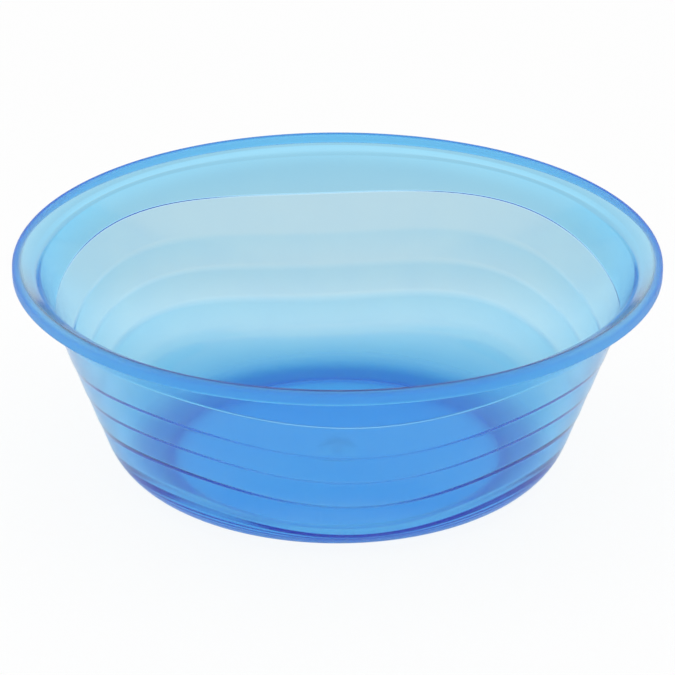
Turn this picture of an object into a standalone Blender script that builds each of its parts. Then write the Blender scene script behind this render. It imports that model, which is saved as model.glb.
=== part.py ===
"""A round household basin in translucent blue plastic, moulded in one piece.

It stands on a foot ring. The wall leans outwards in bands with a small step
between each two, and ends in a thicker collar and a brim with a turned-down
lip. The steps rise and fall in shallow waves round the basin.
Metres, +Z up, with the origin under the middle of the foot ring.
"""

from math import acos, asin, atan2, cos, hypot, pi, radians, sin, tan

import bpy
from mathutils import Quaternion, Vector
from mathutils.geometry import intersect_line_line

# Overall sizes
RIM_RADIUS = 0.180
HEIGHT = 0.127

# Foot ring and floor
FOOT_RADIUS = 0.094
FOOT_WIDTH = 0.0032
FOOT_HEIGHT = 0.0025
FOOT_DRAFT = 0.0004
FLOOR_RADIUS = 0.1024
FLOOR_WALL = 0.0028
CORNER_RADIUS = 0.030

# Gate mark in the middle of the underside
GATE_RADIUS = 0.0025
GATE_HEIGHT = 0.0007
DISH_RADIUS = 0.009
DISH_DEPTH = 0.0003
DISH_SLOPE = 0.0030

# Banded wall: each band thins from its top to its foot, and the two lowest are thicker
BAND_WALL = 0.0010
LOW_BAND_WALL = 0.00125
BAND_TAPER = 0.00025
BAND_HEIGHT = 0.018
TOP_BAND_HEIGHT = 0.0225
STEP_OUTSIDE = 0.0003
STEP_FALL = 0.0012
LOWEST_STEP_SHARE = 0.45

# Collar, brim and lip
COLLAR_HEIGHT = 0.0245
COLLAR_STEP = 0.00075
BRIM_WIDTH = 0.0131
BRIM_RISE = 0.0065
BRIM_BEND = 0.007
RIM_WALL = 0.0014
RIM_ROUND = 0.0028
LIP_DEPTH = 0.0078
LIP_WALL = 0.0020
LIP_FILLET = 0.0012

# Waves in the steps
WAVE_HEIGHT = 0.010
WAVE_COUNT = 4
WAVE_TURN = radians(5)

# Facets
TURN_STEPS = 80
CORNER_STEPS = 6
BEND_STEPS = 4
RIM_STEPS = 4
LIP_STEPS = 2
MERGE_DISTANCE = 0.00001
SMOOTH_ANGLE = radians(28)

# Plastic
BLUE_HEX = "3A9AEA"
PLASTIC_ROUGHNESS = 0.12
PLASTIC_IOR = 1.49
PLASTIC_TRANSMISSION = 0.85

# Places worked out from the sizes: points have the radius as X
BEND = Vector((RIM_RADIUS - BRIM_WIDTH, 0, HEIGHT - BRIM_RISE))
CORNER_CENTRE = Vector((FLOOR_RADIUS, 0, FOOT_HEIGHT + CORNER_RADIUS))
RIM_CENTRE = Vector((RIM_RADIUS - RIM_ROUND, 0, HEIGHT - RIM_ROUND))
COLLAR_EDGE = BEND.z - COLLAR_HEIGHT
TOP_STEP = COLLAR_EDGE - TOP_BAND_HEIGHT
LOWEST_STEP_LIMIT = FOOT_HEIGHT + LOWEST_STEP_SHARE * CORNER_RADIUS
BRIM_WALL = BAND_WALL + COLLAR_STEP


def wall_lean():
    """Angle from upright of the wall, which runs from the bend to touch the corner's arc."""
    reach = BEND - CORNER_CENTRE
    return acos(CORNER_RADIUS / reach.length) - atan2(reach.z, reach.x)


LEAN = wall_lean()
CORNER_TOP = CORNER_CENTRE.z - CORNER_RADIUS * sin(LEAN)


def step_heights():
    """Heights of the steps between the bands, from the top one down."""
    heights = [TOP_STEP]
    while heights[-1] - BAND_HEIGHT > LOWEST_STEP_LIMIT:
        heights.append(heights[-1] - BAND_HEIGHT)
    return heights


STEPS = step_heights()


def wall_point(height, depth):
    """A point of the wall: height on its plain outer face, and depth square in from there."""
    if height < CORNER_TOP:
        turn = acos((CORNER_CENTRE.z - height) / CORNER_RADIUS)
        outwards = Vector((sin(turn), 0, -cos(turn)))
        return CORNER_CENTRE + outwards * (CORNER_RADIUS - depth)
    outwards = Vector((cos(LEAN), 0, -sin(LEAN)))
    face = Vector((BEND.x - (BEND.z - height) * tan(LEAN), 0, height))
    return face - outwards * depth


def wall_place(radius, z):
    """The height and depth at which wall_point gives this point."""
    across = radius - CORNER_CENTRE.x
    down = CORNER_CENTRE.z - z
    turn = atan2(across, down)
    if turn < pi / 2 - LEAN:
        return CORNER_CENTRE.z - CORNER_RADIUS * cos(turn), CORNER_RADIUS - hypot(across, down)
    depth = CORNER_RADIUS - across * cos(LEAN) - down * sin(LEAN)
    return z - depth * sin(LEAN), depth


def fillet(before, corner, after, radius, steps):
    """Points of the arc that rounds a corner of an outline."""
    back = (before - corner).normalized()
    onward = (after - corner).normalized()
    half = back.angle(onward) / 2
    middle = (back + onward).normalized()
    centre = corner + middle * (radius / sin(half))
    axis = back.cross(onward).normalized()
    swings = [(pi / 2 - half) * (1 - 2 * i / steps) for i in range(steps + 1)]
    return [centre - Quaternion(axis, swing) @ middle * radius for swing in swings]


def brim_start():
    """Where the brim's upper face would meet the inner wall if nothing rounded the bend."""
    return wall_point(BEND.z, BAND_WALL)


def brim_tilt():
    """Angle above level of the brim's upper face, which touches the rim's round edge."""
    reach = RIM_CENTRE - brim_start()
    return atan2(reach.z, reach.x) + asin(RIM_ROUND / reach.length)


def brim_underside():
    """Two points of the brim's lower face, the inner one first."""
    tilt = brim_tilt()
    upwards = Vector((-sin(tilt), 0, cos(tilt)))
    rim_end = RIM_CENTRE + upwards * RIM_ROUND
    return brim_start() - upwards * BRIM_WALL, rim_end - upwards * RIM_WALL


def lip_outline():
    """The rim's round edge, the lip's outer face, foot and inner face, and its root."""
    turns = [pi / 2 + brim_tilt()]
    turns += [pi / 2 * (1 - i / RIM_STEPS) for i in range(RIM_STEPS + 1)]
    rim = [RIM_CENTRE + Vector((cos(turn), 0, sin(turn))) * RIM_ROUND for turn in turns]
    outer_foot = Vector((RIM_RADIUS, 0, HEIGHT - LIP_DEPTH))
    inner_foot = Vector((RIM_RADIUS - LIP_WALL, 0, HEIGHT - LIP_DEPTH))
    inner_top = Vector((RIM_RADIUS - LIP_WALL, 0, HEIGHT))
    inner, outer = brim_underside()
    root = intersect_line_line(inner, outer, inner_foot, inner_top)[0]
    foot = fillet(rim[-1], outer_foot, inner_foot, LIP_WALL / 2, LIP_STEPS)
    foot += fillet(outer_foot, inner_foot, inner_top, LIP_WALL / 2, LIP_STEPS)[1:]
    return rim + foot + fillet(inner_foot, root, inner, LIP_FILLET, LIP_STEPS)


def collar_outline():
    """Round the bend under the brim and down the collar to its edge."""
    inner, outer = brim_underside()
    edge = wall_point(COLLAR_EDGE + STEP_FALL / 2, -COLLAR_STEP)
    top = wall_point(BEND.z, -COLLAR_STEP)
    corner = intersect_line_line(inner, outer, edge, top)[0]
    return fillet(outer, corner, edge, BRIM_BEND, BEND_STEPS) + [edge]


def outer_bands():
    """The outer wall below the collar, with a small step at the foot of each band."""
    points = [wall_point(COLLAR_EDGE - STEP_FALL / 2, 0)]
    for height in STEPS:
        points.append(wall_point(height + STEP_FALL / 2, -STEP_OUTSIDE))
        points.append(wall_point(height - STEP_FALL / 2, 0))
    return points


def corner_heights():
    """Heights on the rounded corner, from under the lowest step down to the floor."""
    start = STEPS[-1] - STEP_FALL / 2
    full = acos((CORNER_CENTRE.z - start) / CORNER_RADIUS)
    turns = [full * (1 - i / CORNER_STEPS) for i in range(1, CORNER_STEPS + 1)]
    return [CORNER_CENTRE.z - CORNER_RADIUS * cos(turn) for turn in turns]


def underside_outline():
    """The foot ring and the floor's underside, with the gate mark in its shallow dish."""
    outer = FOOT_RADIUS + FOOT_WIDTH / 2
    inner = FOOT_RADIUS - FOOT_WIDTH / 2
    dish = FOOT_HEIGHT + DISH_DEPTH
    points = [
        (outer + FOOT_DRAFT, FOOT_HEIGHT),
        (outer, 0),
        (inner, 0),
        (inner - FOOT_DRAFT, FOOT_HEIGHT),
        (DISH_RADIUS + DISH_SLOPE, FOOT_HEIGHT),
        (DISH_RADIUS, dish),
        (GATE_RADIUS, dish),
        (GATE_RADIUS, dish - GATE_HEIGHT),
        (0, dish - GATE_HEIGHT),
    ]
    return [Vector((radius, 0, z)) for radius, z in points]


def inner_outline():
    """The inside, from the middle of the floor up to the brim's upper face."""
    points = [Vector((0, 0, FOOT_HEIGHT + FLOOR_WALL))]
    thinning = LOW_BAND_WALL + BAND_TAPER - FLOOR_WALL
    for height in reversed(corner_heights()):
        share = (height - FOOT_HEIGHT) / (STEPS[-1] - FOOT_HEIGHT)
        points.append(wall_point(height, FLOOR_WALL + thinning * share))
    walls = [BAND_WALL] * (len(STEPS) - 1) + [LOW_BAND_WALL, LOW_BAND_WALL]
    for i in reversed(range(len(STEPS))):
        points.append(wall_point(STEPS[i] - STEP_FALL / 2, walls[i + 1] + BAND_TAPER))
        points.append(wall_point(STEPS[i] + STEP_FALL / 2, walls[i] - STEP_OUTSIDE))
    collar_foot = wall_point(COLLAR_EDGE, BAND_WALL)
    rim_end = lip_outline()[0]
    bend = fillet(collar_foot, brim_start(), rim_end, BRIM_BEND + BRIM_WALL, BEND_STEPS)
    return points + [collar_foot] + bend


def basin_outline():
    """The whole section, from the rim down the outside and back up the inside."""
    corner = [wall_point(height, 0) for height in corner_heights()]
    outside = lip_outline() + collar_outline() + outer_bands() + corner
    return outside + underside_outline() + inner_outline()


def wave_lift(height, azimuth):
    """How far up the wall a step rides at this azimuth, fading out at floor and brim."""
    rise = min(max((height - FOOT_HEIGHT) / (STEPS[-1] - FOOT_HEIGHT), 0), 1)
    fall = min(max((height - TOP_STEP) / (BEND.z - TOP_STEP), 0), 1)
    fade = rise * rise * (3 - 2 * rise) * (1 - fall * fall)
    return WAVE_HEIGHT * fade * (1 - cos(WAVE_COUNT * (azimuth - WAVE_TURN))) / 2


def ride_waves(mesh):
    """Slide the steps of a turned wall up and down along it."""
    for vertex in mesh.vertices:
        radius = hypot(vertex.co.x, vertex.co.y)
        if radius <= FLOOR_RADIUS or vertex.co.z >= BEND.z:
            continue
        azimuth = atan2(vertex.co.y, vertex.co.x)
        height, depth = wall_place(radius, vertex.co.z)
        moved = wall_point(height + wave_lift(height, azimuth), depth)
        vertex.co = (moved.x * cos(azimuth), moved.x * sin(azimuth), moved.z)


def turned(name, outline):
    """A body turned about Z from a closed outline, as a plain mesh."""
    ring = bpy.data.meshes.new(name)
    edges = [(i, i + 1) for i in range(len(outline) - 1)]
    ring.from_pydata(outline, edges, [])
    pattern = bpy.data.objects.new(name, ring)
    bpy.context.scene.collection.objects.link(pattern)
    screw = pattern.modifiers.new("turn", "SCREW")
    screw.steps = TURN_STEPS
    screw.render_steps = TURN_STEPS
    screw.use_merge_vertices = True
    screw.merge_threshold = MERGE_DISTANCE
    evaluated = pattern.evaluated_get(bpy.context.evaluated_depsgraph_get())
    mesh = bpy.data.meshes.new_from_object(evaluated)
    bpy.data.objects.remove(pattern)
    return mesh


def linear(channel):
    """Linear value of one sRGB channel."""
    return ((channel + 0.055) / 1.055) ** 2.4


def blue_plastic():
    """Clear blue plastic, slightly soft as a mass-moulded surface is."""
    material = bpy.data.materials.new("blue_plastic")
    material.use_nodes = True
    shader = material.node_tree.nodes["Principled BSDF"]
    colour = [linear(int(BLUE_HEX[i:i + 2], 16) / 255) for i in (0, 2, 4)]
    shader.inputs["Base Color"].default_value = (*colour, 1)
    shader.inputs["Metallic"].default_value = 0
    shader.inputs["Roughness"].default_value = PLASTIC_ROUGHNESS
    shader.inputs["IOR"].default_value = PLASTIC_IOR
    shader.inputs["Transmission Weight"].default_value = PLASTIC_TRANSMISSION
    return material


def basin_shell():
    """The basin, a single moulding."""
    outline = basin_outline()
    mesh = turned("basin_shell", outline + outline[:1])
    ride_waves(mesh)
    mesh.shade_smooth()
    mesh.set_sharp_from_angle(angle=SMOOTH_ANGLE)
    mesh.materials.append(blue_plastic())
    return bpy.data.objects.new("basin_shell", mesh)


def main():
    for item in list(bpy.data.objects):
        bpy.data.objects.remove(item)
    collection = bpy.data.collections.new("plastic_basin")
    bpy.context.scene.collection.children.link(collection)
    collection.objects.link(basin_shell())


main()
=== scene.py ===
"""Looks of a round household basin moulded in clear blue plastic.

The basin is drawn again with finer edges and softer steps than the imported
model's. Its section is turned about Z, with the steps riding in shallow waves.
Metres, +Z up, origin under the middle of the foot ring.
"""

from functools import partial
from math import acos, asin, atan2, cos, hypot, pi, radians, sin, tan

import bpy
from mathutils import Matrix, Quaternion, Vector
from mathutils.geometry import intersect_line_line


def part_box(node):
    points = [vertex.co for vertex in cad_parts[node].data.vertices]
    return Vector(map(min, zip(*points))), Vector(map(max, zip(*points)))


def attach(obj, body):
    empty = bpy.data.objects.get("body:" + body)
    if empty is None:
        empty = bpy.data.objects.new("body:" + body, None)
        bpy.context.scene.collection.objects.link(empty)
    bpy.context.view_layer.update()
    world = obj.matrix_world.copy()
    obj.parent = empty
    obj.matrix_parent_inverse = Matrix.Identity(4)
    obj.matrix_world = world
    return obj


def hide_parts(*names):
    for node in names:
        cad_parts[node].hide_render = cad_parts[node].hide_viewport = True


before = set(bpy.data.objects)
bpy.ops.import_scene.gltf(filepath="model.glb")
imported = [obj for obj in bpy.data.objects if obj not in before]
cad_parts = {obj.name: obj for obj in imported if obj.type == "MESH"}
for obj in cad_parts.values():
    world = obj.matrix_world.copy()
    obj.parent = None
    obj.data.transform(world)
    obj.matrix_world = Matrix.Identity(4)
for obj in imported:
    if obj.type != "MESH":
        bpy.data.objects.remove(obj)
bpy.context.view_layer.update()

# Overall sizes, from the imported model
SHELL_LOW, SHELL_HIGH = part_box("basin_shell")
RIM_RADIUS = SHELL_HIGH.x
HEIGHT = SHELL_HIGH.z

# Foot ring and floor
FOOT_RADIUS = 0.094
FOOT_WIDTH = 0.0032
FOOT_HEIGHT = 0.0025
FOOT_DRAFT = 0.0004
FOOT_ROUND = 0.0007
FLOOR_RADIUS = 0.1024
FLOOR_WALL = 0.0028
CORNER_RADIUS = 0.030

# Gate mark in the middle of the underside
GATE_RADIUS = 0.0025
GATE_HEIGHT = 0.0007
GATE_ROUND = 0.0002
DISH_RADIUS = 0.009
DISH_DEPTH = 0.0003
DISH_SLOPE = 0.003

# Banded wall: bands between two steps thin from top to foot, and the lowest of them is thicker
BAND_WALL = 0.0010
LOW_BAND_WALL = 0.00125
BAND_TAPER = 0.00025
BAND_HEIGHT = 0.018
TOP_BAND_HEIGHT = 0.0225
LOWEST_STEP_SHARE = 0.45

# Steps of the wall, softened over a height so that light passes them without a hard line
STEP_FALL = 0.0032
STEP_OUTSIDE = 0.0003
SECOND_FALL = 0.0045
LOWEST_FALL = 0.0065
LOWEST_OUTSIDE = 0.0002

# Collar, brim and lip
COLLAR_HEIGHT = 0.0245
COLLAR_STEP = 0.00075
COLLAR_FALL = 0.0012
COLLAR_OUTSIDE = 0.00065
BRIM_WIDTH = 0.0131
BRIM_RISE = 0.0065
BRIM_BEND = 0.007
BRIM_WALL = 0.0021
RIM_WALL = 0.0014
RIM_ROUND = 0.0028
LIP_DEPTH = 0.0078
LIP_WALL = 0.0020
LIP_FILLET = 0.0012

# Waves in the steps
WAVE_HEIGHT = 0.010
WAVE_COUNT = 4
WAVE_TURN = radians(5)

# Fineness of the mesh
TURN_STEPS = 256
ARC_STEPS = 6
CORNER_STEPS = 12
LEDGE_STEPS = 8
SUPPORT = 0.0004
SHORTEST_SUPPORTED = 3 * SUPPORT
LONGEST_STRETCH = 0.006
MERGE_DISTANCE = 0.000005

# Places worked out from the sizes: points have the radius as X
BEND = Vector((RIM_RADIUS - BRIM_WIDTH, 0, HEIGHT - BRIM_RISE))
CORNER_CENTRE = Vector((FLOOR_RADIUS, 0, FOOT_HEIGHT + CORNER_RADIUS))
RIM_CENTRE = Vector((RIM_RADIUS - RIM_ROUND, 0, HEIGHT - RIM_ROUND))
COLLAR_EDGE = BEND.z - COLLAR_HEIGHT
TOP_STEP = COLLAR_EDGE - TOP_BAND_HEIGHT
LOWEST_STEP_LIMIT = FOOT_HEIGHT + LOWEST_STEP_SHARE * CORNER_RADIUS
COLLAR_WALL = BAND_WALL + COLLAR_STEP

# Camera, fitted to the rim, the steps and the foot ring in the photograph
CAMERA_DISTANCE = 2.0191
CAMERA_RISE = radians(26.911)
CAMERA_PITCH = radians(25.004)
IMAGE_SIDE = 675
FOCAL_PIXELS = 3543.0
SENSOR_WIDTH = 36.0

# Plastic: light keeps this colour on its way through, and more so the thicker the wall
PLASTIC_BODY_HEX = "00DFFC"
PLASTIC_DENSITY = 495.0
PLASTIC_IOR = 1.49
PLASTIC_CLARITY = 1.0
PLASTIC_CLEAR_HEX = "FFFFFF"
PLASTIC_FLOW_HEX = "F6FAFF"
FLOW_SIZE = 0.025
PLASTIC_ROUGHNESS = 0.08
GRAIN_ROUGHNESS = 0.11
GRAIN_SIZE = 0.0015
SCUFF_ROUGHNESS = 0.30
SCUFF_WIDTH = 0.0008
SCUFF_LENGTH = 0.030
SCUFF_FROM = 0.66
SCUFF_TO = 0.74
WORN_ROUGHNESS = 0.45
WORN_RIM_WIDTH = 0.006
WORN_FOOT_HEIGHT = 0.014
WORN_FOOT_WIDTH = 0.006
NOISE_DETAIL = 1.5

# Paper floor, seen white but for a soft shade under and behind the basin: the real shadow where the
# white is held back, and behind the basin a painted shade that darkens the paper's own colour
WHITE = (1, 1, 1, 1)
WHITE_LEVEL = 1.0
FLOOR_SIDE = 12.0
FLOOR_GAP = 0.0002
PAPER_HEX = "F2F2F2"
# Painted shade: grey toward which the paper's own colour is darkened behind the basin
PAINTED_SHADE_HEX = "C8C8C8"
PAPER_ROUGHNESS = 0.9
PAPER_SHINE = 0.1
WHITE_SHARE = 0.9
PAPER_GLOSS_SHARE = 0.2
BEHIND_SHARE = 0.5
SHADE_NEAR = 0.035
SHADE_FAR = 0.27
SHADE_START = 0.113
SHADE_END = 0.170
BLUR_START = 0.014
BLUR_END = 0.050
BEHIND_FROM = 0.12
BEHIND_TO = 0.21
# Painted shade: distances behind the basin over which the paper's colour darkens
PAINTED_SHADE_FROM = 0.16
PAINTED_SHADE_TO = 0.27

# Light on the paper from a dome, which the basin shows as plain white
DOME_LOW = 0.35
DOME_HIGH = 1.5
DOME_FROM = 0.4
DOME_TO = 0.9
DOME_GLOSS_SHARE = 1.0

# Bounces that light needs through both walls and the floor
BOUNCES = 32

# The sRGB curve, straight up to its limit and a power above it
SRGB_LIMIT = 0.04045
SRGB_SLOPE = 12.92
SRGB_OFFSET = 0.055
SRGB_POWER = 2.4


def wall_lean():
    """Angle from upright of the wall, which runs from the bend to touch the corner's arc."""
    reach = BEND - CORNER_CENTRE
    return acos(CORNER_RADIUS / reach.length) - atan2(reach.z, reach.x)


LEAN = wall_lean()
CORNER_TOP = CORNER_CENTRE.z - CORNER_RADIUS * sin(LEAN)


def step_heights():
    """Heights of the steps between the bands, from the lowest one up."""
    heights = [TOP_STEP]
    while heights[0] - BAND_HEIGHT > LOWEST_STEP_LIMIT:
        heights.insert(0, heights[0] - BAND_HEIGHT)
    return heights


STEPS = step_heights()
FALLS = [LOWEST_FALL, SECOND_FALL] + [STEP_FALL] * (len(STEPS) - 2)
OUTSIDES = [LOWEST_OUTSIDE] + [STEP_OUTSIDE] * (len(STEPS) - 1)


def wall_point(height, depth):
    """A point of the wall: height on its plain outer face, and depth square in from there."""
    if height < CORNER_TOP:
        turn = acos((CORNER_CENTRE.z - height) / CORNER_RADIUS)
        outwards = Vector((sin(turn), 0, -cos(turn)))
        return CORNER_CENTRE + outwards * (CORNER_RADIUS - depth)
    outwards = Vector((cos(LEAN), 0, -sin(LEAN)))
    face = Vector((BEND.x - (BEND.z - height) * tan(LEAN), 0, height))
    return face - outwards * depth


def wall_place(point):
    """The height and depth at which wall_point gives this point."""
    across = point.x - CORNER_CENTRE.x
    down = CORNER_CENTRE.z - point.z
    turn = atan2(across, down)
    if turn < pi / 2 - LEAN:
        return CORNER_CENTRE.z - CORNER_RADIUS * cos(turn), CORNER_RADIUS - hypot(across, down)
    depth = CORNER_RADIUS - across * cos(LEAN) - down * sin(LEAN)
    return point.z - depth * sin(LEAN), depth


def softened(share):
    """A share from 0 to 1 that starts and ends gently."""
    return share * share * (3 - 2 * share)


def wave_share(height):
    """How much of the wave a height takes: none at the floor and the brim, all between."""
    rise = min(max((height - FOOT_HEIGHT) / (STEPS[0] - FOOT_HEIGHT), 0), 1)
    fall = min(max((height - TOP_STEP) / (BEND.z - TOP_STEP), 0), 1)
    return softened(rise) * (1 - fall * fall)


def fillet(before, corner, after, radius, steps=ARC_STEPS):
    """Points of the arc that rounds a corner of an outline."""
    back = (before - corner).normalized()
    onward = (after - corner).normalized()
    half = back.angle(onward) / 2
    middle = (back + onward).normalized()
    centre = corner + middle * (radius / sin(half))
    axis = back.cross(onward).normalized()
    swings = [(pi / 2 - half) * (1 - 2 * i / steps) for i in range(steps + 1)]
    return [centre - Quaternion(axis, swing) @ middle * radius for swing in swings]


def rounded(corners, radius):
    """An outline's inner corners rounded, with its first and last point as they are."""
    points = [corners[0]]
    for before, corner, after in zip(corners, corners[1:], corners[2:]):
        points += fillet(before, corner, after, radius)
    return points + [corners[-1]]


def ledge(height, fall, lower_depth, upper_depth):
    """A softly rounded step in the wall, from just under its height to just over it."""
    points = []
    for i in range(LEDGE_STEPS + 1):
        share = i / LEDGE_STEPS
        depth = lower_depth + (upper_depth - lower_depth) * softened(share)
        points.append(wall_point(height + fall * (share - 1 / 2), depth))
    return points


def brim_start():
    """Where the brim's upper face would meet the inner wall if nothing rounded the bend."""
    return wall_point(BEND.z, BRIM_WALL - COLLAR_OUTSIDE)


def brim_tilt():
    """Angle above level of the brim's upper face, which touches the rim's round edge."""
    reach = RIM_CENTRE - brim_start()
    return atan2(reach.z, reach.x) + asin(RIM_ROUND / reach.length)


def brim_underside():
    """Two points of the brim's lower face, the inner one first."""
    tilt = brim_tilt()
    upwards = Vector((-sin(tilt), 0, cos(tilt)))
    rim_end = RIM_CENTRE + upwards * RIM_ROUND
    return brim_start() - upwards * BRIM_WALL, rim_end - upwards * RIM_WALL


def underside_outline():
    """The floor's underside from its middle out, with the gate mark, and the foot ring."""
    dish = FOOT_HEIGHT + DISH_DEPTH
    gate = [(0, dish - GATE_HEIGHT), (GATE_RADIUS, dish - GATE_HEIGHT), (GATE_RADIUS, dish)]
    bowl = [(DISH_RADIUS, dish), (DISH_RADIUS + DISH_SLOPE, FOOT_HEIGHT)]
    inner = FOOT_RADIUS - FOOT_WIDTH / 2
    outer = FOOT_RADIUS + FOOT_WIDTH / 2
    foot = [
        (inner - FOOT_DRAFT, FOOT_HEIGHT),
        (inner, 0),
        (outer, 0),
        (outer + FOOT_DRAFT, FOOT_HEIGHT),
    ]
    middle = [Vector((radius, 0, z)) for radius, z in gate + bowl]
    ring = [Vector((radius, 0, z)) for radius, z in foot]
    end = Vector((FLOOR_RADIUS, 0, FOOT_HEIGHT))
    start = rounded(middle + ring[:1], GATE_ROUND)[:-1]
    return start + rounded(middle[-1:] + ring + [end], FOOT_ROUND)[1:]


def corner_heights():
    """Heights on the rounded corner, from the floor up to just under the lowest step."""
    start = STEPS[0] - LOWEST_FALL / 2
    full = acos((CORNER_CENTRE.z - start) / CORNER_RADIUS)
    turns = [full * i / CORNER_STEPS for i in range(CORNER_STEPS)]
    return [CORNER_CENTRE.z - CORNER_RADIUS * cos(turn) for turn in turns]


def outer_wall():
    """The outer face from the corner up over its steps to the collar and the bend."""
    points = [wall_point(height, 0) for height in corner_heights()[1:]]
    for height, fall, outside in zip(STEPS, FALLS, OUTSIDES):
        points += ledge(height, fall, 0, -outside)
    points += ledge(COLLAR_EDGE, COLLAR_FALL, 0, -COLLAR_OUTSIDE)
    inner, outer = brim_underside()
    edge = wall_point(COLLAR_EDGE + COLLAR_FALL / 2, -COLLAR_OUTSIDE)
    top = wall_point(BEND.z, -COLLAR_OUTSIDE)
    corner = intersect_line_line(inner, outer, edge, top)[0]
    return points + fillet(edge, corner, outer, BRIM_BEND)


def lip_outline():
    """The lip's root, inner face, foot and outer face, and the rim's round edge."""
    outer_foot = Vector((RIM_RADIUS, 0, HEIGHT - LIP_DEPTH))
    inner_foot = Vector((RIM_RADIUS - LIP_WALL, 0, HEIGHT - LIP_DEPTH))
    inner_top = Vector((RIM_RADIUS - LIP_WALL, 0, HEIGHT))
    outer_top = Vector((RIM_RADIUS, 0, HEIGHT - RIM_ROUND))
    inner, outer = brim_underside()
    root = intersect_line_line(inner, outer, inner_foot, inner_top)[0]
    points = fillet(inner, root, inner_foot, LIP_FILLET)
    points += fillet(root, inner_foot, outer_foot, LIP_WALL / 2)
    points += fillet(inner_foot, outer_foot, outer_top, LIP_WALL / 2)[1:]
    turns = [pi / 2 * i / ARC_STEPS for i in range(ARC_STEPS + 1)] + [pi / 2 + brim_tilt()]
    return points + [RIM_CENTRE + Vector((cos(t), 0, sin(t))) * RIM_ROUND for t in turns]


def inner_outline():
    """The inside, from the brim's upper face down to the middle of the floor."""
    rim_end = lip_outline()[-1]
    collar_foot = wall_point(COLLAR_EDGE + COLLAR_FALL / 2, COLLAR_WALL - COLLAR_OUTSIDE)
    points = fillet(rim_end, brim_start(), collar_foot, BRIM_BEND + BRIM_WALL)
    points += reversed(ledge(COLLAR_EDGE, COLLAR_FALL, BAND_WALL, COLLAR_WALL - COLLAR_OUTSIDE))
    walls = [LOW_BAND_WALL, LOW_BAND_WALL] + [BAND_WALL] * (len(STEPS) - 1)
    for i in reversed(range(len(STEPS))):
        points += reversed(ledge(STEPS[i], FALLS[i], walls[i] + BAND_TAPER, walls[i + 1] - OUTSIDES[i]))
    for height in reversed(corner_heights()):
        share = (height - FOOT_HEIGHT) / (STEPS[0] - FOOT_HEIGHT)
        points.append(wall_point(height, FLOOR_WALL + (LOW_BAND_WALL + BAND_TAPER - FLOOR_WALL) * share))
    return points + [Vector((0, 0, FOOT_HEIGHT + FLOOR_WALL))]


def with_supports(points):
    """The outline with points close to the ends of its long stretches, and more between."""
    full = [points[0]]
    for start, end in zip(points, points[1:]):
        length = (end - start).length
        if length > SHORTEST_SUPPORTED:
            inside = length - 2 * SUPPORT
            parts = int(inside / LONGEST_STRETCH) + 1
            full += [start.lerp(end, (SUPPORT + inside * i / parts) / length) for i in range(parts + 1)]
        full.append(end)
    return full


def basin_section():
    """The whole section, from the middle of the underside round the rim to the floor."""
    return with_supports(underside_outline() + outer_wall() + lip_outline() + inner_outline())


def add(tree, kind, settings=None, **links):
    """Add a node with its settings, and set or link its inputs by name."""
    node = tree.nodes.new(kind)
    for name, value in (settings or {}).items():
        setattr(node, name, value)
    for name, value in links.items():
        socket = node.inputs[int(name[1:])] if name[1:].isdigit() else node.inputs[name]
        if isinstance(value, bpy.types.NodeSocket):
            tree.links.new(value, socket)
        else:
            socket.default_value = value
    return node


def maths(tree, operation, first, second=0.0):
    """What an operation makes of one or two values."""
    return add(tree, "ShaderNodeMath", {"operation": operation}, _0=first, _1=second).outputs[0]


def section_mesh():
    """The section as a chain of points that carry their place in the wall."""
    points = basin_section()
    mesh = bpy.data.meshes.new("basin_section")
    mesh.from_pydata(points, [(i, i + 1) for i in range(len(points) - 1)], [])
    on_wall = [p.x > FLOOR_RADIUS and p.z < BEND.z for p in points]
    places = [wall_place(p) if wall else (0, 0) for p, wall in zip(points, on_wall)]
    values = {
        "wall_height": [place[0] for place in places],
        "wall_depth": [place[1] for place in places],
        "wave_share": [wave_share(place[0]) * wall for place, wall in zip(places, on_wall)],
    }
    for name, column in values.items():
        mesh.attributes.new(name, "FLOAT", "POINT").data.foreach_set("value", column)
    return mesh


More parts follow.
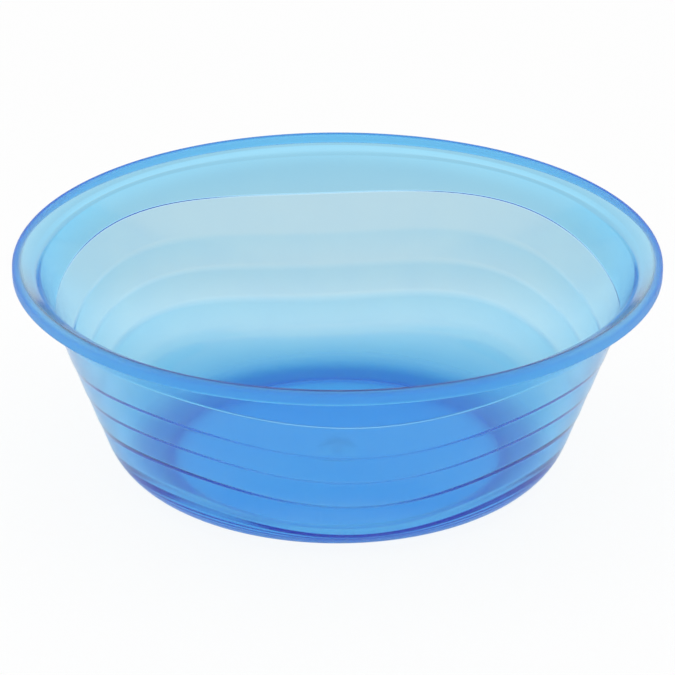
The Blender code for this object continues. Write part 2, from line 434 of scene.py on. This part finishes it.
def turning_tree(material):
    """Geometry nodes that turn the section about Z and let its wall ride in waves."""
    tree = bpy.data.node_groups.new("turned_wall_in_waves", "GeometryNodeTree")
    new_socket = tree.interface.new_socket
    new_socket("Section", in_out="INPUT", socket_type="NodeSocketGeometry")
    for name in ("Turn Steps", "Wave Count"):
        new_socket(name, in_out="INPUT", socket_type="NodeSocketInt")
    for name in ("Wave Height", "Wave Turn", "Corner Radius", "Corner Out", "Corner Up",
                 "Lean", "Bend Out", "Bend Up", "Merge Distance"):
        new_socket(name, in_out="INPUT", socket_type="NodeSocketFloat")
    new_socket("Basin", in_out="OUTPUT", socket_type="NodeSocketGeometry")
    given = tree.nodes.new("NodeGroupInput").outputs
    calc = partial(maths, tree)

    size = add(tree, "GeometryNodeAttributeDomainSize", None, Geometry=given["Section"])
    rows = size.outputs["Point Count"]
    columns = calc("ADD", given["Turn Steps"], 1.0)
    grid = add(tree, "GeometryNodeMeshGrid", None, _2=rows, _3=columns).outputs["Mesh"]
    index = add(tree, "GeometryNodeInputIndex").outputs["Index"]
    row = calc("FLOOR", calc("DIVIDE", index, columns))
    column = calc("SUBTRACT", index, calc("MULTIPLY", row, columns))
    turn = calc("DIVIDE", column, given["Turn Steps"])
    azimuth = calc("MULTIPLY", turn, 2 * pi)

    def sampled(kind, value):
        sample = add(tree, "GeometryNodeSampleIndex", {"data_type": kind}, Geometry=given["Section"])
        tree.links.new(value, sample.inputs["Value"])
        tree.links.new(row, sample.inputs["Index"])
        return sample.outputs["Value"]

    def carried(name):
        named = add(tree, "GeometryNodeInputNamedAttribute", {"data_type": "FLOAT"}, Name=name)
        return sampled("FLOAT", named.outputs["Attribute"])

    place = sampled("FLOAT_VECTOR", add(tree, "GeometryNodeInputPosition").outputs[0])
    plain = add(tree, "ShaderNodeSeparateXYZ", None, _0=place).outputs
    depth = carried("wall_depth")
    share = carried("wave_share")

    # The wave lifts a point along the wall, and is lowest at the wave's turn
    phase = calc("MULTIPLY", calc("SUBTRACT", azimuth, given["Wave Turn"]), given["Wave Count"])
    swell = calc("MULTIPLY", calc("SUBTRACT", 1.0, calc("COSINE", phase)), 0.5)
    lift = calc("MULTIPLY", calc("MULTIPLY", swell, share), given["Wave Height"])
    height = calc("ADD", carried("wall_height"), lift)

    # On the straight wall
    below = calc("SUBTRACT", given["Bend Up"], height)
    face_out = calc("SUBTRACT", given["Bend Out"],
                     calc("MULTIPLY", below, calc("TANGENT", given["Lean"])))
    wall_out = calc("SUBTRACT", face_out, calc("MULTIPLY", depth, calc("COSINE", given["Lean"])))
    wall_up = calc("ADD", height, calc("MULTIPLY", depth, calc("SINE", given["Lean"])))

    # On the rounded corner
    arc_cosine = calc("DIVIDE", calc("SUBTRACT", given["Corner Up"], height), given["Corner Radius"])
    arc = calc("ARCCOSINE", arc_cosine)
    reach = calc("SUBTRACT", given["Corner Radius"], depth)
    arc_out = calc("ADD", given["Corner Out"], calc("MULTIPLY", reach, calc("SINE", arc)))
    arc_up = calc("SUBTRACT", given["Corner Up"], calc("MULTIPLY", reach, calc("COSINE", arc)))

    corner_top = calc("SUBTRACT", given["Corner Up"],
                       calc("MULTIPLY", given["Corner Radius"], calc("SINE", given["Lean"])))
    on_arc = calc("LESS_THAN", height, corner_top)
    rides = calc("GREATER_THAN", share, 0.0)

    def chosen(switch, off, on):
        node = add(tree, "GeometryNodeSwitch", {"input_type": "FLOAT"}, Switch=switch)
        for socket, value in (("False", off), ("True", on)):
            tree.links.new(value, node.inputs[socket])
        return node.outputs[0]

    out = chosen(rides, plain["X"], chosen(on_arc, wall_out, arc_out))
    up = chosen(rides, plain["Z"], chosen(on_arc, wall_up, arc_up))
    across = calc("MULTIPLY", out, calc("COSINE", azimuth))
    along = calc("MULTIPLY", out, calc("SINE", azimuth))
    spot = add(tree, "ShaderNodeCombineXYZ", None, _0=across, _1=along, _2=up).outputs[0]

    placed = add(tree, "GeometryNodeSetPosition", None, Geometry=grid, Position=spot)
    closed = add(tree, "GeometryNodeMergeByDistance", None, Geometry=placed.outputs[0],
                 Distance=given["Merge Distance"])
    outward = add(tree, "GeometryNodeFlipFaces", None, Mesh=closed.outputs[0])
    smooth = add(tree, "GeometryNodeSetShadeSmooth", None, Geometry=outward.outputs[0])
    real = add(tree, "GeometryNodeRealizeInstances", None, Geometry=smooth.outputs[0])
    painted = add(tree, "GeometryNodeSetMaterial", None, Geometry=real.outputs[0], Material=material)
    result = tree.nodes.new("NodeGroupOutput")
    tree.links.new(painted.outputs[0], result.inputs["Basin"])
    return tree


def set_inputs(modifier, values):
    """Set a nodes modifier's inputs by their sockets' identifiers."""
    for item in modifier.node_group.interface.items_tree:
        if item.item_type == "SOCKET" and item.in_out == "INPUT" and item.name in values:
            modifier[item.identifier] = values[item.name]


def basin_moulding(material):
    """The whole basin, one moulding, as a plain mesh."""
    pattern = bpy.data.objects.new("basin_section", section_mesh())
    bpy.context.scene.collection.objects.link(pattern)
    modifier = pattern.modifiers.new("turn", "NODES")
    modifier.node_group = turning_tree(material)
    set_inputs(modifier, {
        "Turn Steps": TURN_STEPS,
        "Wave Count": WAVE_COUNT,
        "Wave Height": WAVE_HEIGHT,
        "Wave Turn": WAVE_TURN,
        "Corner Radius": CORNER_RADIUS,
        "Corner Out": CORNER_CENTRE.x,
        "Corner Up": CORNER_CENTRE.z,
        "Lean": LEAN,
        "Bend Out": BEND.x,
        "Bend Up": BEND.z,
        "Merge Distance": MERGE_DISTANCE,
    })
    evaluated = pattern.evaluated_get(bpy.context.evaluated_depsgraph_get())
    mesh = bpy.data.meshes.new_from_object(evaluated)
    bpy.data.objects.remove(pattern)
    mesh.materials.clear()
    mesh.materials.append(material)
    piece = bpy.data.objects.new("basin_moulding", mesh)
    bpy.context.scene.collection.objects.link(piece)
    return piece


def linear(hex_colour):
    """An sRGB hex colour as linear red, green, blue and alpha."""
    channels = [int(hex_colour[i:i + 2], 16) / 255 for i in (0, 2, 4)]
    curved = [((c + SRGB_OFFSET) / (1 + SRGB_OFFSET)) ** SRGB_POWER for c in channels]
    return [c / SRGB_SLOPE if c <= SRGB_LIMIT else curve for c, curve in zip(channels, curved)] + [1]


def eased(tree, value, start, end, low=0.0, high=1.0):
    """A value led softly from a low to a high level between its start and its end."""
    return add(tree, "ShaderNodeMapRange", {"interpolation_type": "SMOOTHSTEP"},
               Value=value, _1=start, _2=end, _3=low, _4=high).outputs[0]


def object_place(tree):
    """The place on the object, and its X, Y and Z."""
    place = add(tree, "ShaderNodeTexCoord").outputs["Object"]
    return place, add(tree, "ShaderNodeSeparateXYZ", None, _0=place).outputs


def level_length(tree, across, along):
    """How far a level vector reaches."""
    flat = add(tree, "ShaderNodeCombineXYZ", None, X=across, Y=along).outputs[0]
    return add(tree, "ShaderNodeVectorMath", {"operation": "LENGTH"}, _0=flat).outputs["Value"]


def noise(tree, place, size):
    """Noise whose patches are about the given size across."""
    texture = add(tree, "ShaderNodeTexNoise", None, Vector=place, Scale=1 / size, Detail=NOISE_DETAIL)
    return texture.outputs[0]


def mixed(tree, share, first, second):
    """Two values mixed by a share of the second."""
    return add(tree, "ShaderNodeMix", None, _0=share, _2=first, _3=second).outputs[0]


def mixed_colour(tree, share, first_hex, second_hex):
    """Two colours mixed by a share of the second."""
    return add(tree, "ShaderNodeMix", {"data_type": "RGBA"}, _0=share,
               _6=linear(first_hex), _7=linear(second_hex)).outputs[2]


def plastic_colour(tree, place):
    """Faint clouds from the flow of the melt, so that the clear plastic isn't all one tone."""
    return mixed_colour(tree, noise(tree, place, FLOW_SIZE), PLASTIC_CLEAR_HEX, PLASTIC_FLOW_HEX)


def plastic_roughness(tree, place, parts):
    """Satin grain all over, light scuffs on the floor, and a dulled rim and foot."""
    out = level_length(tree, parts["X"], parts["Y"])
    # The mould's fine grain softens what is seen through the wall: drawn coarser than it is
    grain = noise(tree, place, GRAIN_SIZE)
    plain = mixed(tree, grain, PLASTIC_ROUGHNESS, GRAIN_ROUGHNESS)
    # Long shallow scuffs across the floor, left by what was scrubbed there
    stretch = (1, SCUFF_WIDTH / SCUFF_LENGTH, 0)
    lines = add(tree, "ShaderNodeVectorMath", {"operation": "MULTIPLY"}, _0=place, _1=stretch).outputs[0]
    scuffs = eased(tree, noise(tree, lines, SCUFF_WIDTH), SCUFF_FROM, SCUFF_TO)
    on_floor = eased(tree, out, FLOOR_RADIUS, FOOT_RADIUS)
    inside = eased(tree, parts["Z"], FOOT_HEIGHT, FOOT_HEIGHT + FLOOR_WALL)
    scuffs = maths(tree, "MULTIPLY", scuffs, maths(tree, "MULTIPLY", on_floor, inside))
    scuffed = mixed(tree, scuffs, plain, SCUFF_ROUGHNESS)
    # The rim is dulled by hands, and the foot and the corner by the sink
    rim = eased(tree, out, RIM_RADIUS - WORN_RIM_WIDTH, RIM_RADIUS - WORN_RIM_WIDTH / 2)
    low = eased(tree, parts["Z"], WORN_FOOT_HEIGHT, FOOT_HEIGHT)
    foot = maths(tree, "MULTIPLY", low, eased(tree, out, FOOT_RADIUS - WORN_FOOT_WIDTH, FOOT_RADIUS))
    return mixed(tree, maths(tree, "MAXIMUM", rim, foot), scuffed, WORN_ROUGHNESS)


def blue_plastic():
    """Clear blue polypropylene, injection moulded, deeper in colour where it is thicker."""
    material = bpy.data.materials.new("blue_injection_moulded_polypropylene")
    material.use_nodes = True
    tree = material.node_tree
    shader = tree.nodes["Principled BSDF"]
    place, parts = object_place(tree)
    tree.links.new(plastic_colour(tree, place), shader.inputs["Base Color"])
    tree.links.new(plastic_roughness(tree, place, parts), shader.inputs["Roughness"])
    shader.inputs["IOR"].default_value = PLASTIC_IOR
    shader.inputs["Transmission Weight"].default_value = PLASTIC_CLARITY
    body = add(tree, "ShaderNodeVolumeAbsorption", None,
               Color=linear(PLASTIC_BODY_HEX), Density=PLASTIC_DENSITY)
    tree.links.new(body.outputs[0], tree.nodes["Material Output"].inputs["Volume"])
    return material


def paper_white_and_painted_shade(tree):
    """How white the paper looks at a place, and how much painted shade darkens its own tone there.

    A soft-edged tongue starts under the basin and widens behind it, away from the camera,
    where the back wall shows it. In it the white is held back so that the paper's real shadow shows,
    and further behind a painted shade darkens the paper's own colour.
    """
    parts = object_place(tree)[1]
    along = add(tree, "ShaderNodeMapRange", None, Value=parts["Y"],
                _1=SHADE_NEAR, _2=SHADE_FAR).outputs[0]
    middle = mixed(tree, along, SHADE_NEAR, SHADE_FAR)
    reach = level_length(tree, parts["X"], maths(tree, "SUBTRACT", parts["Y"], middle))
    edge = mixed(tree, along, SHADE_START, SHADE_END)
    blur = mixed(tree, along, BLUR_START, BLUR_END)
    away = maths(tree, "DIVIDE", maths(tree, "SUBTRACT", reach, edge), blur)
    behind = eased(tree, parts["Y"], BEHIND_FROM, BEHIND_TO, 0.0, BEHIND_SHARE)
    white = eased(tree, away, 0.0, 1.0, behind, WHITE_SHARE)
    # Painted shade: the paper's colour darkens further behind the basin, inside the tongue
    painted_darkening = eased(tree, parts["Y"], PAINTED_SHADE_FROM, PAINTED_SHADE_TO)
    return white, maths(tree, "MULTIPLY", painted_darkening, eased(tree, away, 1.0, 0.0))


def seen_share(tree, gloss_share):
    """How much plain white a ray shows: all if seen or seen through, a share in gloss, else none."""
    rays = add(tree, "ShaderNodeLightPath").outputs
    seen = maths(tree, "MAXIMUM", rays["Is Camera Ray"], rays["Is Transmission Ray"])
    return maths(tree, "MAXIMUM", seen, maths(tree, "MULTIPLY", rays["Is Glossy Ray"], gloss_share))


def white_paper():
    """Matt white paper, which looks plain white in part: most round the basin, least under it, with a
    painted shade in its colour behind the basin.
    """
    material = bpy.data.materials.new("matt_white_backdrop_paper")
    material.use_nodes = True
    tree = material.node_tree
    shader = tree.nodes["Principled BSDF"]
    shader.inputs["Roughness"].default_value = PAPER_ROUGHNESS
    shader.inputs["Specular IOR Level"].default_value = PAPER_SHINE
    white, painted_shade_share = paper_white_and_painted_shade(tree)
    # Painted shade: the paper's base colour is darkened toward grey behind the basin
    tree.links.new(mixed_colour(tree, painted_shade_share, PAPER_HEX, PAINTED_SHADE_HEX), shader.inputs["Base Color"])
    glow = add(tree, "ShaderNodeEmission", None, Color=WHITE, Strength=WHITE_LEVEL)
    share = maths(tree, "MULTIPLY", white, seen_share(tree, PAPER_GLOSS_SHARE))
    paper = add(tree, "ShaderNodeMixShader", None, _0=share, _1=shader.outputs[0], _2=glow.outputs[0])
    tree.links.new(paper.outputs[0], tree.nodes["Material Output"].inputs["Surface"])
    material.cycles.emission_sampling = "NONE"
    return material


def studio_floor():
    """A broad sheet of paper under the basin."""
    mesh = bpy.data.meshes.new("paper_floor")
    half = FLOOR_SIDE / 2
    corners = [(-half, -half, 0), (half, -half, 0), (half, half, 0), (-half, half, 0)]
    mesh.from_pydata(corners, [], [(0, 1, 2, 3)])
    mesh.materials.append(white_paper())
    floor = bpy.data.objects.new("paper_floor", mesh)
    floor.location.z = -FLOOR_GAP
    bpy.context.scene.collection.objects.link(floor)


def studio_light():
    """A soft dome, brightest overhead, that looks plain white itself."""
    world = bpy.data.worlds.new("studio")
    bpy.context.scene.world = world
    world.use_nodes = True
    tree = world.node_tree
    background = tree.nodes["Background"]
    background.inputs["Color"].default_value = WHITE
    way = add(tree, "ShaderNodeTexCoord").outputs["Generated"]
    height = add(tree, "ShaderNodeSeparateXYZ", None, _0=way).outputs["Z"]
    dome = eased(tree, height, DOME_FROM, DOME_TO, DOME_LOW, DOME_HIGH)
    level = mixed(tree, seen_share(tree, DOME_GLOSS_SHARE), dome, WHITE_LEVEL)
    tree.links.new(level, background.inputs["Strength"])
    world.cycles.sampling_method = "NONE"


def camera():
    """The photograph's view of the basin."""
    data = bpy.data.cameras.new("camera")
    data.sensor_width = SENSOR_WIDTH
    data.lens = FOCAL_PIXELS / IMAGE_SIDE * SENSOR_WIDTH
    item = bpy.data.objects.new("camera", data)
    back = cos(CAMERA_RISE) * CAMERA_DISTANCE
    item.location = (0, -back, sin(CAMERA_RISE) * CAMERA_DISTANCE)
    item.rotation_euler = (pi / 2 - CAMERA_PITCH, 0, 0)
    bpy.context.scene.collection.objects.link(item)
    bpy.context.scene.camera = item


def main():
    """Set the view, the light and the paper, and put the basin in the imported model's place."""
    bpy.context.scene.view_settings.view_transform = "Standard"
    cycles = bpy.context.scene.cycles
    cycles.blur_glossy = 0.0
    cycles.max_bounces = BOUNCES
    cycles.transmission_bounces = BOUNCES
    cycles.glossy_bounces = BOUNCES
    camera()
    studio_light()
    studio_floor()
    basin = basin_moulding(blue_plastic())
    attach(basin, "root")
    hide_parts("basin_shell")


main()
